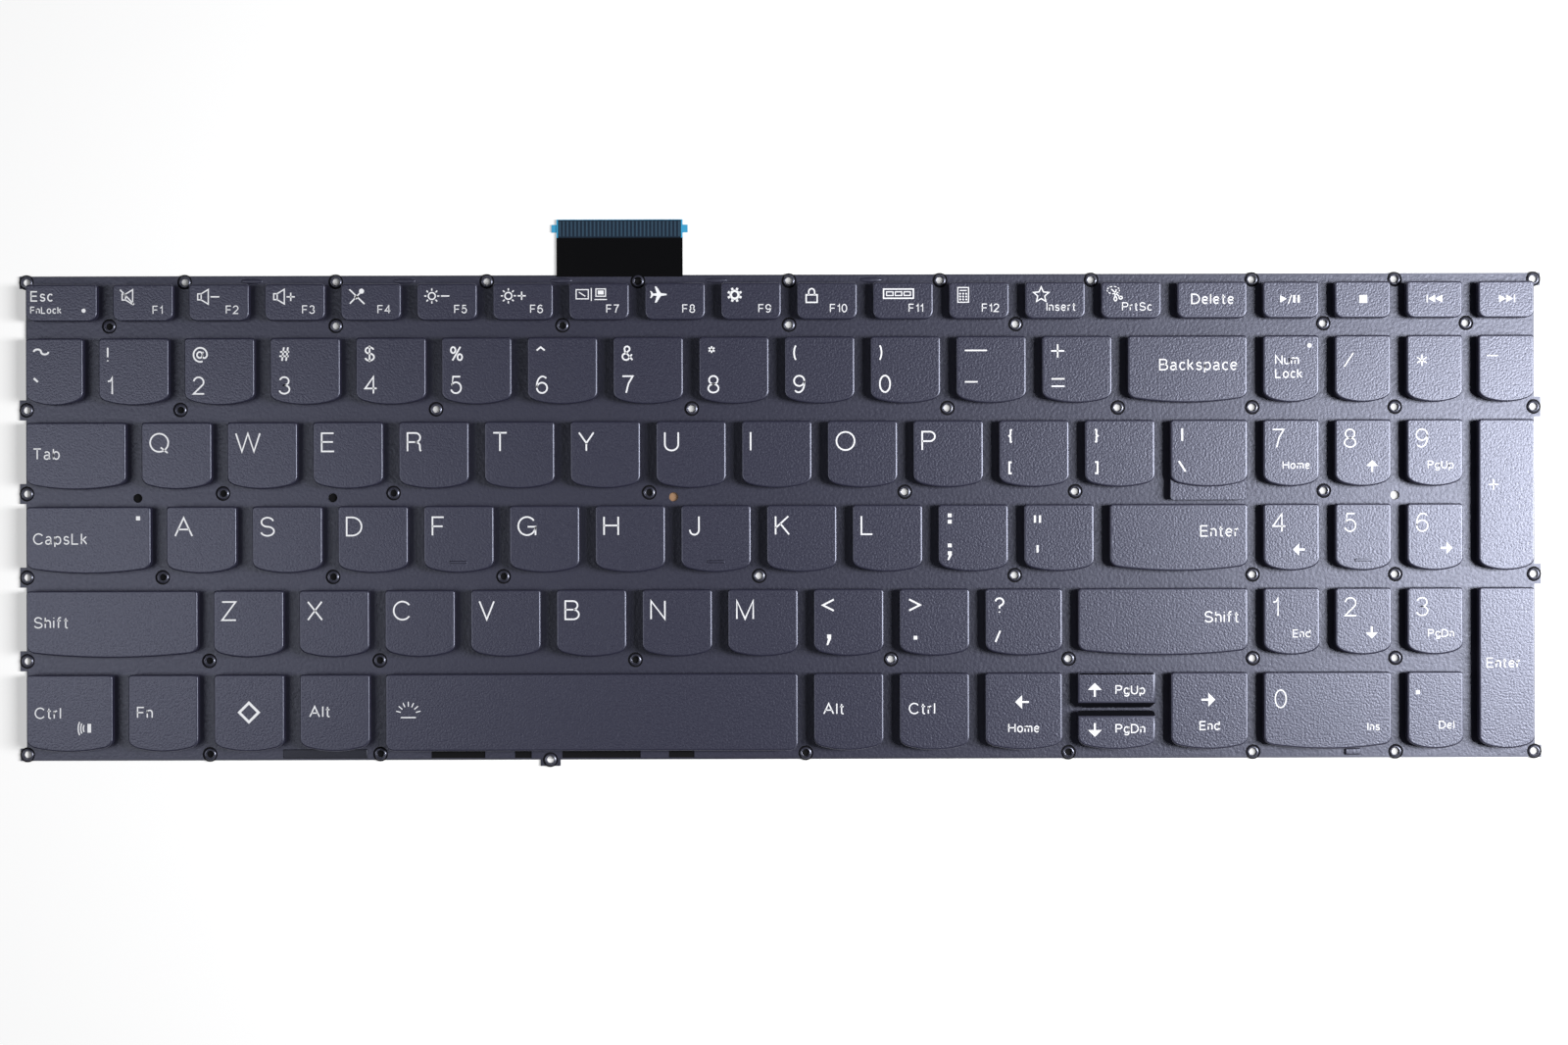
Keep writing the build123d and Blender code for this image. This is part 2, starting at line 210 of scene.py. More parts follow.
def merged_copy(node, name):
    """A CAD piece's mesh on a new object, its loose triangles merged into flat faces."""
    piece = bpy.data.objects.new(name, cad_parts[node].data.copy())
    bpy.context.scene.collection.objects.link(piece)
    edit(piece)
    merge_flats()
    return piece


def corners(piece):
    """The lowest and highest corner of a piece whose place is in its mesh."""
    columns = list(zip(*(v.co for v in piece.data.vertices)))
    return Vector([min(c) for c in columns]), Vector([max(c) for c in columns])


def split(piece):
    """Parts a piece into its loose solids, rear row first and left to right in each row."""
    pick(piece)
    bpy.ops.mesh.separate(type="LOOSE")
    parts = list(bpy.context.selected_objects)
    return sorted(parts, key=lambda p: (-round(corners(p)[1].y / MM), corners(p)[0].x))


def pierced(node, narrowest, widest):
    """The middles of the holes in a CAD sheet, from the upright walls that stay when its flats go."""
    walls = merged_copy(node, "hole_walls")
    edit(walls)
    mesh = bmesh.from_edit_mesh(walls.data)
    flats = [face for face in mesh.faces if abs(face.normal.z) > LEVEL_FACE]
    bmesh.ops.delete(mesh, geom=flats, context="FACES")
    bmesh.update_edit_mesh(walls.data)
    bpy.ops.object.mode_set(mode="OBJECT")
    middles = []
    for ring in split(walls):
        low, high = corners(ring)
        if narrowest < high.x - low.x < widest:
            middles.append(((low.x + high.x) / 2, (low.y + high.y) / 2))
        bpy.data.objects.remove(ring)
    return middles


def spread_copies(piece, places):
    """Copies the mesh of a piece made at the origin to each place, all in the one piece."""
    edit(piece)
    bpy.ops.mesh.select_all(action="SELECT")
    here = Vector((0, 0, 0))
    for place in places[1:]:
        step = Vector((*place, 0)) - Vector((*places[0], 0)) - here
        bpy.ops.mesh.duplicate_move(TRANSFORM_OT_translate={"value": step})
        here += step
    bpy.ops.mesh.select_all(action="SELECT")
    bpy.ops.transform.translate(value=(*places[0], 0))
    bpy.ops.object.mode_set(mode="OBJECT")


STAKES = pierced("base_plate", 0, WIDEST_STAKE_HOLE)
collars = turned("stake_collars", COLLAR_PROFILE, COLLAR_SIDES, closed=True)
spread_copies(collars, STAKES)
# The collars carry the plate's own coat, given a lighter grey here to show their lit rims: painted
# highlight.
collar_steel = satin_black("collar_worn_coat", COLLAR_PAINTED_HIGHLIGHT_GREY, roughness=0.3, index=1.8, level=0.8)
add_grain(collar_steel, size=0.15 * MM, height=0.01 * MM, strength=0.3)
finish(collars, collar_steel)
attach(collars, "base")

tape_black = new_material("tape_black", TAPE_AND_SHADE_BLACK, roughness=0.7)
tape_black.node_tree.nodes["Principled BSDF"].inputs["Specular IOR Level"].default_value = 0.15
add_grain(tape_black, size=0.3 * MM, height=0.01 * MM, strength=0.3)
# Painted shade: a flat black ring in the tape's black fills the shadowed gap round each collar.
shade_rings = turned("stake_glue_beads", SHADE_RING_PROFILE, COLLAR_SIDES, closed=True)
spread_copies(shade_rings, STAKES)
finish(shade_rings, tape_black)
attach(shade_rings, "base")


def discs(name, radius, places, material):
    """Round flat patches that close holes of the plate from below."""
    bpy.ops.object.select_all(action="DESELECT")
    place = (0, 0, TAPE_HEIGHT)
    bpy.ops.mesh.primitive_circle_add(vertices=COLLAR_SIDES, radius=radius, fill_type="NGON", location=place)
    piece = bpy.context.object
    piece.name = name
    bpy.ops.object.transform_apply(location=True)
    spread_copies(piece, places)
    finish(piece, material)
    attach(piece, "base")


taped_stakes = [min(STAKES, key=lambda stake: math.dist(stake, (x * MM, y * MM))) for x, y in TAPED]
discs("stake_tape", COLLAR_BORE_RADIUS, taped_stakes, tape_black)


# Locating holes: four plain holes in which pins of the assembly jig line plate and film up.
# Two are taped over below, one shows a lug of the tan board behind it, and one stays open.
PIN_RADIUS = 1.0 * MM
BOARD_TAN = (0.30, 0.17, 0.09)
PINS = sorted(pierced("base_plate", WIDEST_STAKE_HOLE, WIDEST_HOLE))
discs("pin_hole_tape", PIN_RADIUS, PINS[:2], tape_black)
board_tan = new_material("board_tan", BOARD_TAN, roughness=0.5)
add_grain(board_tan, size=0.3 * MM, height=0.01 * MM, strength=0.3)
discs("pin_hole_board", PIN_RADIUS, PINS[2:3], board_tan)


# Switch membrane: three printed polyester films, laminated and glued down on the plate.
# Round windows clear the collars, and the front edge is notched for the palm rest: a rolled lip
# fills the first notch and black gaskets line the others. Five dimples and a lug stand up from it.
WINDOW_RADIUS = 1.63 * MM
WINDOW_SIDES = 32
DRILL_LENGTH = 3 * MM
FILM_BLACK = (0.019, 0.0186, 0.034)
NOTCH_DEPTH = 2.0 * MM
NOTCH_MARGIN = 1 * MM
NOTCH_CUT_TOP = 2 * MM
GASKET_THICKNESS = 0.05 * MM
ROLL_HEIGHT = 0.42 * MM
ROLL_ROUND = 0.18 * MM
ROLL_BLACK = (0.006, 0.006, 0.010)
DIMPLE_HALF_SIZE = (2.4 * MM, 0.6 * MM, 0.22 * MM)
DIMPLES_X = [-115.9, -82.4, -48.0, -14.0, 19.9]
DIMPLE_Y = 51.95 * MM
LUG_LOW = (123.7, -52.5, 0.6)
LUG_HIGH = (127.1, -51.05, 1.3)
LUG_ROUND = 0.3 * MM
NOTCHES = [(-109.2, -90.7), (-76.7, -64.9), (-58.4, -54.7), (-48.0, -30.8), (-24.6, -19.0)]


def block(name, low, high):
    """A cube primitive set between two corners."""
    bpy.ops.object.select_all(action="DESELECT")
    low, high = Vector(low), Vector(high)
    bpy.ops.mesh.primitive_cube_add(size=1, location=(low + high) / 2, scale=high - low)
    piece = bpy.context.object
    piece.name = name
    bpy.ops.object.transform_apply(location=True, rotation=True, scale=True)
    return piece


def join(pieces, name):
    """Makes one piece of several."""
    bpy.ops.object.select_all(action="DESELECT")
    for piece in pieces:
        piece.select_set(True)
    bpy.context.view_layer.objects.active = pieces[0]
    bpy.ops.object.join()
    bpy.context.object.name = name
    return bpy.context.object


def cut(piece, cutter):
    """Takes a cutter out of a piece, and throws the cutter away."""
    change = piece.modifiers.new("cut", "BOOLEAN")
    change.operation = "DIFFERENCE"
    change.object = cutter
    change.solver = "EXACT"
    pick(piece)
    bpy.ops.object.modifier_apply(modifier="cut")
    bpy.data.objects.remove(cutter)


def drills(radius, places):
    """Round cutters standing at these places."""
    bpy.ops.object.select_all(action="DESELECT")
    bpy.ops.mesh.primitive_cylinder_add(vertices=WINDOW_SIDES, radius=radius, depth=DRILL_LENGTH)
    cutter = bpy.context.object
    spread_copies(cutter, places)
    return cutter


def round_edges(piece, width, segments):
    """Rounds every edge of a block."""
    edit(piece)
    bpy.ops.mesh.select_all(action="SELECT")
    bpy.ops.mesh.bevel(offset=width, segments=segments)
    bpy.ops.object.mode_set(mode="OBJECT")


film_low, film_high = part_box("switch_membrane")
film = block("membrane_film", film_low, film_high)
cutters = [drills(WINDOW_RADIUS, STAKES), drills(PIN_RADIUS, PINS)]
for left, right in NOTCHES:
    low = (left * MM, film_low.y - NOTCH_MARGIN, 0)
    high = (right * MM, film_low.y + NOTCH_DEPTH, NOTCH_CUT_TOP)
    cutters.append(block("notch", low, high))
cut(film, join(cutters, "openings"))
film_satin = satin_black("film_satin_black", FILM_BLACK, roughness=0.39, index=1.66, level=0.57)
add_grain(film_satin, size=12 * MM, height=0.25 * MM, strength=0.25, detail=1.0, stretch=(1, 2.5, 1))
film_noise = add_grain(film_satin, size=0.7 * MM, height=0.05 * MM, strength=1.0)
vary(film_satin, film_noise, "Roughness", low=0.36, high=0.43)
finish(film, film_satin)
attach(film, "base")
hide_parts("switch_membrane")
FILM_TOP = film_high.z

bpy.ops.object.select_all(action="DESELECT")
bpy.ops.mesh.primitive_uv_sphere_add(segments=24, ring_count=12, radius=1, scale=DIMPLE_HALF_SIZE)
dimples = bpy.context.object
dimples.name = "film_dimples"
dimples.location = (0, 0, FILM_TOP)
bpy.ops.object.transform_apply(location=True, rotation=True, scale=True)
spread_copies(dimples, [(x * MM, DIMPLE_Y) for x in DIMPLES_X])
finish(dimples, film_satin, angle=60)
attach(dimples, "base")

gaskets = []
for left, right in NOTCHES[1:]:
    low = (left * MM, film_low.y, film_low.z)
    high = (right * MM, film_low.y + NOTCH_DEPTH, film_low.z + GASKET_THICKNESS)
    gaskets.append(block("gasket", low, high))
gasket = join(gaskets, "front_gaskets")
finish(gasket, tape_black)
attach(gasket, "base")

roll_left, roll_right = NOTCHES[0]
roll_low = (roll_left * MM, film_low.y, film_low.z)
roll_high = (roll_right * MM, film_low.y + NOTCH_DEPTH, film_low.z + ROLL_HEIGHT)
roll = block("front_roll", roll_low, roll_high)
round_edges(roll, ROLL_ROUND, segments=4)
roll_black = satin_black("roll_satin_black", ROLL_BLACK, roughness=0.35, index=1.5, level=0.5)
add_grain(roll_black, size=0.3 * MM, height=0.005 * MM, strength=0.3)
finish(roll, roll_black, angle=60)
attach(roll, "base")

lug = block("film_lug", Vector(LUG_LOW) * MM, Vector(LUG_HIGH) * MM)
round_edges(lug, LUG_ROUND, segments=3)
finish(lug, film_satin)
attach(lug, "base")


# Ribbon: the membrane's tail, a film strip with printed tracks under black lacquer.
# Its end is bare for the connector, backed by a blue stiffener with two pull ears.
END_LENGTH = 4.0 * MM
TRACK_COUNT = 32
TRACK_WIDTH = 0.34 * MM
TRACK_SETBACK = 0.3 * MM
EDGE_BLUE = 0.35 * MM
FIELD_SETBACK = 0.1 * MM
PRINT_THICKNESS = 0.01 * MM
TAIL_TUCK = 0.5 * MM
LACQUER_BLACK = (0.0015, 0.0015, 0.002)
STIFFENER_BLUE = (0.035, 0.30, 0.52)
FIELD_BLUE = (0.004, 0.014, 0.030)
TRACK_BLUE = (0.022, 0.055, 0.092)
tail_low, tail_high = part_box("ribbon_tail")
tail_split = tail_high.y - END_LENGTH
tail = block("ribbon_tail_film", (tail_low.x, film_high.y - TAIL_TUCK, tail_low.z),
             (tail_high.x, tail_split, tail_high.z))
lacquer = new_material("ribbon_black_lacquer", LACQUER_BLACK, roughness=0.18)
add_grain(lacquer, size=6 * MM, height=0.1 * MM, strength=0.2, detail=1.0)
add_grain(lacquer, size=0.4 * MM, height=0.004 * MM, strength=0.25)
finish(tail, lacquer)
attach(tail, "base")
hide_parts("ribbon_tail")

stiffener_blue = new_material("stiffener_blue", STIFFENER_BLUE, roughness=0.4)
add_grain(stiffener_blue, size=0.4 * MM, height=0.006 * MM, strength=0.25)
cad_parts["ribbon_stiffener"].data.materials.clear()
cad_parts["ribbon_stiffener"].data.materials.append(stiffener_blue)
end_film = block("ribbon_end_film", (tail_low.x, tail_split, tail_low.z), tail_high)
finish(end_film, stiffener_blue)
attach(end_film, "base")
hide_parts("ribbon_tail")

field_low = (tail_low.x + EDGE_BLUE, tail_split, tail_high.z)
field_high = (tail_high.x - EDGE_BLUE, tail_high.y - FIELD_SETBACK, tail_high.z + PRINT_THICKNESS)
field = block("ribbon_contact_field", field_low, field_high)
field_blue = new_material("contact_field_blue", FIELD_BLUE, roughness=0.35)
add_grain(field_blue, size=0.5 * MM, height=0.004 * MM, strength=0.25)
finish(field, field_blue)
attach(field, "base")

pitch = (field_high[0] - field_low[0]) / TRACK_COUNT
track_low = (-TRACK_WIDTH / 2, field_low[1] + TRACK_SETBACK, field_high[2])
track_high = (TRACK_WIDTH / 2, field_high[1] - TRACK_SETBACK, field_high[2] + PRINT_THICKNESS)
tracks = block("ribbon_tracks", track_low, track_high)
spread_copies(tracks, [(field_low[0] + (i + 0.5) * pitch, 0) for i in range(TRACK_COUNT)])
track_ink = new_material("track_carbon_blue", TRACK_BLUE, roughness=0.4)
add_grain(track_ink, size=0.3 * MM, height=0.004 * MM, strength=0.3)
finish(tracks, track_ink)
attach(tracks, "base")


# Keycaps: injection-moulded black plastic, one per key, with a fine spark-eroded grain.
# Each has a bowed front edge and a smooth rounded rim, and clips on the levers under it.
# Three carry a homing bar. Its flanks, and the slopes facing the slit between the middle arrows, get a
# near-black finish: painted shade.
CORNER_ROUND = 0.68 * MM
CORNER_STEPS = 4
RIM_SLOPE = 0.42 * MM
RIM_DROP = 0.14 * MM
RIM_ROUND = 0.14 * MM
RIM_STEPS = 2
HALF_HEIGHT = 3.2 * MM
SHARP = math.radians(18)
VERY_SHARP = math.radians(40)
HOMING_KEYS = ("f", "j", "pad_5")
SLIT_SIDE = {"arrow_up": -1, "arrow_down": 1}
HOMING_ROUND = 0.19 * MM
HOMING_STEPS = 3
BAR_SINK = 0.1 * MM
BAR_RISE = 0.05 * MM
CAP_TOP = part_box("key_a")[1].z
TOP_MARGIN = 0.01 * MM
CAP_BLACK = (0.0168, 0.0162, 0.033)
PAINTED_SHADE_BLACK = (0.004, 0.004, 0.006)
UPRIGHT = 0.99
LEVEL_EDGE = 0.5
TOP_NORMAL = 0.999
GRAINED_NORMAL = 0.99
SIDE_NORMAL = 0.4
SLOPE_NORMAL = 0.2
FUNCTION_ROW = ("escape f1 f2 f3 f4 f5 f6 f7 f8 f9 f10 f11 f12 insert print_screen delete"
                " play stop previous next").split()
NUMBER_ROW = "grave 1 2 3 4 5 6 7 8 9 0 minus equals backspace".split()
PAD_KEYS = ("num_lock pad_divide pad_multiply pad_subtract pad_7 pad_8 pad_9 pad_add pad_4 pad_5 pad_6"
            " pad_1 pad_2 pad_3 pad_enter pad_0 pad_decimal").split()
GROUPED_KEYS = {"function_keycaps": FUNCTION_ROW, "number_keycaps": NUMBER_ROW, "pad_keycaps": PAD_KEYS}
MOVING_KEYS = [node[len("key_"):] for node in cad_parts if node.startswith("key_")]


def is_upright_corner(edge):
    """A convex edge that runs straight up the outside of a cap."""
    run = edge.verts[1].co - edge.verts[0].co
    return abs(run.z) > UPRIGHT * run.length and edge.is_convex and edge.calc_face_angle(0) > SHARP


def is_rim(edge):
    """A sharp convex edge that runs level round the upper half of a cap."""
    ends = [vert.co for vert in edge.verts]
    level = abs(ends[1].z - ends[0].z) < LEVEL_EDGE * (ends[1] - ends[0]).length
    high_up = min(end.z for end in ends) > HALF_HEIGHT
    return level and high_up and edge.is_convex and edge.calc_face_angle(0) > VERY_SHARP


def bevel(piece, wanted, width, segments):
    """Rounds the edges of a piece that a rule picks out."""
    edit(piece)
    mesh = bmesh.from_edit_mesh(piece.data)
    for edge in mesh.edges:
        edge.select_set(False)
    chosen = [edge for edge in mesh.edges if wanted(edge)]
    for edge in chosen:
        edge.select_set(True)
    bmesh.update_edit_mesh(piece.data)
    if chosen:
        bpy.ops.mesh.bevel(offset=width, segments=segments, profile=0.5, clamp_overlap=True)
    bpy.ops.object.mode_set(mode="OBJECT")


def slope_border(cap):
    """Slopes a narrow border of a cap's top face down to its rim."""
    edit(cap)
    bpy.ops.mesh.select_all(action="DESELECT")
    bpy.ops.mesh.select_mode(type="FACE")
    mesh = bmesh.from_edit_mesh(cap.data)
    for face in mesh.faces:
        at_top = face.calc_center_median().z > CAP_TOP - TOP_MARGIN
        face.select_set(at_top and face.normal.z > TOP_NORMAL)
    bmesh.update_edit_mesh(cap.data)
    bpy.ops.transform.translate(value=(0, 0, -RIM_DROP))
    bpy.ops.mesh.inset(thickness=RIM_SLOPE, depth=RIM_DROP)
    bpy.ops.object.mode_set(mode="OBJECT")


def lift_off_bar(cap):
    """Flattens the homing bar of a cap's CAD mesh into its top, and returns the bar's two corners."""
    edit(cap)
    mesh = bmesh.from_edit_mesh(cap.data)
    crown = [vert for vert in mesh.verts if vert.co.z > CAP_TOP + BAR_RISE]
    low = Vector([min(vert.co[axis] for vert in crown) for axis in range(3)])
    high = Vector([max(vert.co[axis] for vert in crown) for axis in range(3)])
    for vert in crown:
        vert.co.z = CAP_TOP
    bmesh.update_edit_mesh(cap.data)
    merge_flats()
    low.z = CAP_TOP - BAR_SINK
    return low, high


cap_plastic = satin_black("keycap_grained_black", CAP_BLACK, roughness=0.36, index=1.68, level=0.64)
grain = add_grain(cap_plastic, size=0.45 * MM, height=0.06 * MM, strength=1.0, detail=1.0)
vary(cap_plastic, grain, "Roughness", low=0.33, high=0.42)
cap_rim = satin_black("keycap_smooth_rim", CAP_BLACK, roughness=0.36, index=1.68, level=0.64)
cap_painted_shade = satin_black("keycap_slit_black", PAINTED_SHADE_BLACK, roughness=0.5, index=1.4, level=0.2)
add_grain(cap_painted_shade, size=0.4 * MM, height=0.004 * MM, strength=0.3)
rim_noise = add_grain(cap_rim, size=0.4 * MM, height=0.004 * MM, strength=0.3)
vary(cap_rim, rim_noise, "Roughness", low=0.34, high=0.40)

caps = {}
cap_body = {}
for key in MOVING_KEYS:
    caps[key] = merged_copy("key_" + key, "cap_" + key)
    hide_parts("key_" + key)
    cap_body[key] = "key_" + key
for node, names in GROUPED_KEYS.items():
    for key, cap in zip(names, split(merged_copy(node, node + "_copy"))):
        cap.name = "cap_" + key
        caps[key] = cap
        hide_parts(node)
        cap_body[key] = "base"
for key in HOMING_KEYS:
    bar = block("homing_bar_" + key, *lift_off_bar(caps[key]))
    bevel(bar, is_rim, HOMING_ROUND, HOMING_STEPS)
    finish(bar, cap_rim)
    # Painted shade: the bar's front and rear flanks get the near-black finish.
    bar.data.materials.append(cap_painted_shade)
    for face in bar.data.polygons:
        face.material_index = 1 if abs(face.normal.y) > SIDE_NORMAL else 0
    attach(bar, cap_body[key])
    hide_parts("key_" + key if key in MOVING_KEYS else "pad_keycaps")
for key, cap in caps.items():
    bevel(cap, is_upright_corner, CORNER_ROUND, CORNER_STEPS)
    slope_border(cap)
    bevel(cap, is_rim, RIM_ROUND, RIM_STEPS)
    finish(cap, cap_plastic)
    cap.data.materials.append(cap_rim)
    # Painted shade: the slopes of the middle arrow caps that face their slit get the near-black finish.
    cap.data.materials.append(cap_painted_shade)
    for face in cap.data.polygons:
        face.material_index = 0 if face.normal.z > GRAINED_NORMAL else 1
        towards_slit = face.normal.y * SLIT_SIDE.get(key, 0) > SIDE_NORMAL
        if towards_slit and face.normal.z > SLOPE_NORMAL:
            face.material_index = 2
    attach(cap, cap_body[key])


def key_over(point):
    """The key whose cap stands over a point."""
    for key, cap in caps.items():
        low, high = corners(cap)
        if low.x < point.x < high.x and low.y < point.y < high.y:
            return key
    raise ValueError("no cap over this point")


# Rubber domes: one moulded silicone bell under each cap, glued on the membrane.
# It pushes the cap back up, and buckles flat when the key goes down.
DOME_SIDES = 16
DOME_SMOOTH = 50
DOME_GREY = (0.30, 0.30, 0.31)
DOME_CLEARANCE = 0.02
dome_low, dome_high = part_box("rubber_domes")
DOME_TOP = (dome_high.z - dome_low.z) / MM - DOME_CLEARANCE
NECK_RADIUS = 1.3
BELL_PROFILE = [(2.3, 0.0), (2.3, 0.22), (2.02, 0.34), (1.72, 1.3), (1.42, 2.0),
                (NECK_RADIUS, 2.08), (NECK_RADIUS, DOME_TOP)]
silicone = new_material("dome_silicone", DOME_GREY, roughness=0.55)
add_grain(silicone, size=0.6 * MM, height=0.01 * MM, strength=0.2)
silicone_shader = silicone.node_tree.nodes["Principled BSDF"]
silicone_shader.inputs["Subsurface Weight"].default_value = 0.2
silicone_shader.inputs["Subsurface Radius"].default_value = (MM, MM, MM)
bell = turned("dome_pattern", BELL_PROFILE, DOME_SIDES)
finish(bell, silicone, angle=DOME_SMOOTH)
dome_seats = split(merged_copy("rubber_domes", "dome_seats"))
for seat in dome_seats:
    low, high = corners(seat)
    centre = (low + high) / 2
    key = key_over(centre)
    dome = bpy.data.objects.new("dome_" + key, bell.data.copy())
    bpy.context.scene.collection.objects.link(dome)
    dome.location = (centre.x, centre.y, dome_low.z)
    finish(dome, silicone, angle=DOME_SMOOTH)
    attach(dome, "base")
    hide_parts("rubber_domes")
    if key in MOVING_KEYS:
        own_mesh(dome)
    bpy.data.objects.remove(seat)
bpy.data.objects.remove(bell)


# Scissor levers: two crossed frames of glass-filled nylon under each full-size cap.
# They keep the cap level on its way down and fold flat under it.
LEVER_ROUND = 0.08 * MM
NYLON_BLACK = (0.045, 0.045, 0.05)
nylon = new_material("lever_nylon", NYLON_BLACK, roughness=0.5)
add_grain(nylon, size=0.3 * MM, height=0.01 * MM, strength=0.3)


def is_sharp(edge):
    """Any convex edge of a moulded piece."""
    return edge.is_convex and edge.calc_face_angle(0) > SHARP


def under_key_pieces(node, stem, material):
    """Rounds the solids of a CAD node, groups them by key, and gives those under moving keys a mesh of their
    own.
    """
    groups = {}
    for part in split(merged_copy(node, node + "_copy")):
        low, high = corners(part)
        groups.setdefault(key_over((low + high) / 2), []).append(part)
    for key, parts in groups.items():
        piece = join(parts, stem + key)
        low = corners(piece)[0]
        bevel(piece, is_sharp, LEVER_ROUND, 1)
        finish(piece, material)
        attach(piece, "base")
        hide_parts(node)
        if key in MOVING_KEYS:
            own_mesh(piece)


under_key_pieces("scissor_levers", "levers_", nylon)


# Stabiliser bars: bent spring-steel wire along the wide keys.
# Both ends turn under the cap's clips, so that the cap goes down level.
STEEL_GREY = (0.45, 0.45, 0.46)
wire_steel = new_material("bar_spring_steel", STEEL_GREY, roughness=0.28)
wire_steel.node_tree.nodes["Principled BSDF"].inputs["Metallic"].default_value = 1.0
add_grain(wire_steel, size=0.2 * MM, height=0.004 * MM, strength=0.2, stretch=(0.2, 1, 1))
under_key_pieces("stabiliser_bars", "bar_", wire_steel)


